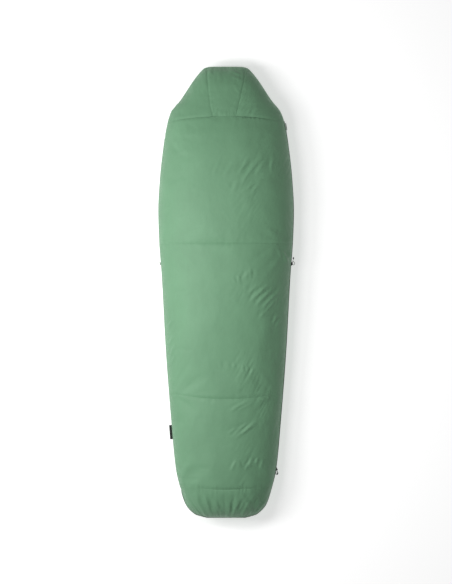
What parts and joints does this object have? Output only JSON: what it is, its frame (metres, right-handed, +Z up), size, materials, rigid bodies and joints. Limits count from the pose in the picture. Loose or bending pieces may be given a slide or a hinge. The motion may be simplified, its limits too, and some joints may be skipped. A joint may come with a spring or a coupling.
{
  "type": "camp quilt",
  "caption": "Hooded, mummy-cut camp quilt with a closed foot, lying face down; a zip runs down one side and round the foot, and the back opens on the other side.",
  "frame": {"origin": "on the ground under the middle of the quilt's box", "axes": "+X towards the zip side, +Y towards the hood, +Z up out of the back of the quilt, which lies face down"},
  "size_m": [0.6292, 2.0512, 0.2498],
  "materials": {
    "shell_fabric": "matte",
    "lining_fabric": "matte",
    "batt": "matte",
    "zip_tape": "matte",
    "zip_coil": "satin",
    "dark_metal": "satin",
    "black_plastic": "satin",
    "pale_cord": "matte",
    "tag_fabric": "matte"
  },
  "bodies": {
    "base": {"base_shell_body": "shell_fabric", "base_shell_foot": "shell_fabric", "base_batt_upper": "batt", "base_batt_middle": "batt", "base_batt_lower": "batt", "base_batt_foot": "batt", "base_lining": "lining_fabric", "neck_hem": "shell_fabric", "base_zip_tape": "zip_tape", "base_zip_coil": "zip_coil", "draft_tube": "lining_fabric", "zip_end_box": "black_plastic", "zip_top_stop": "dark_metal", "side_binding": "shell_fabric", "loop_left": "pale_cord", "loop_right": "pale_cord", "loop_lower_right": "pale_cord", "side_tag": "tag_fabric"},
    "cover": {"cover_shell_chest": "shell_fabric", "cover_shell_hips": "shell_fabric", "cover_shell_legs": "shell_fabric", "cover_shell_foot": "shell_fabric", "cover_batt_chest": "batt", "cover_batt_hips": "batt", "cover_batt_legs": "batt", "cover_batt_foot": "batt", "cover_lining": "lining_fabric", "hood_shell_left": "shell_fabric", "hood_shell_centre": "shell_fabric", "hood_shell_right": "shell_fabric", "hood_batt": "batt", "hood_lining": "lining_fabric", "hood_shell_under": "shell_fabric", "hood_batt_under": "batt", "hood_lining_under": "lining_fabric", "cover_zip_tape": "zip_tape", "cover_zip_coil": "zip_coil", "hood_edge_tunnel": "shell_fabric", "hood_drawcord": "pale_cord"},
    "upper_slider": {"upper_slider_body": "dark_metal"},
    "upper_pull": {"upper_slider_pull": "black_plastic"},
    "lower_slider": {"lower_slider_body": "dark_metal"},
    "lower_pull": {"lower_slider_pull": "black_plastic"},
    "cord_lock": {"cord_lock_case": "black_plastic", "cord_lock_spring": "dark_metal"},
    "cord_lock_button": {"cord_lock_button": "black_plastic"},
    "zip_guard": {"zip_guard_tab": "shell_fabric"}
  },
  "joints": [
    {"name": "cover_opening", "type": "hinge", "parent": "base", "child": "cover", "pos_m": [-0.2985, 0.1, 0.08], "axis": [0.0549, -0.9985, 0], "range_deg": [0, 150]},
    {"name": "upper_slider_travel", "type": "hinge", "parent": "base", "child": "upper_slider", "pos_m": [-1.896, 0.34955, 0.08], "axis": [0, 0, 1], "range_deg": [-0.7, 14.8]},
    {"name": "upper_pull_swing", "type": "hinge", "parent": "upper_slider", "child": "upper_pull", "pos_m": [0.30264, 0.12803, 0.08], "axis": [0, 0, 1], "range_deg": [-172, 4]},
    {"name": "lower_slider_travel", "type": "hinge", "parent": "base", "child": "lower_slider", "pos_m": [-10.4229, 0.37085, 0.08], "axis": [0, 0, 1], "range_deg": [0, 3.75]},
    {"name": "lower_pull_swing", "type": "hinge", "parent": "lower_slider", "child": "lower_pull", "pos_m": [0.23375, -0.80647, 0.08], "axis": [0, 0, 1], "range_deg": [-6, 170]},
    {"name": "cord_lock_travel", "type": "slide", "parent": "cover", "child": "cord_lock", "axis": [0, 1, 0], "range_m": [-0.01, 0.009]},
    {"name": "cord_lock_press", "type": "slide", "parent": "cord_lock", "child": "cord_lock_button", "axis": [0, 0, -1], "range_m": [0, 0.0014], "stiffness_N_per_m": 600, "springref_m": -0.0015, "deforming": ["cord_lock_spring"]},
    {"name": "zip_guard_fold", "type": "hinge", "parent": "base", "child": "zip_guard", "pos_m": [0.27336, 0.75265, 0.063], "axis": [-0.1889, 0.982, 0], "range_deg": [0, 110]}
  ]
}
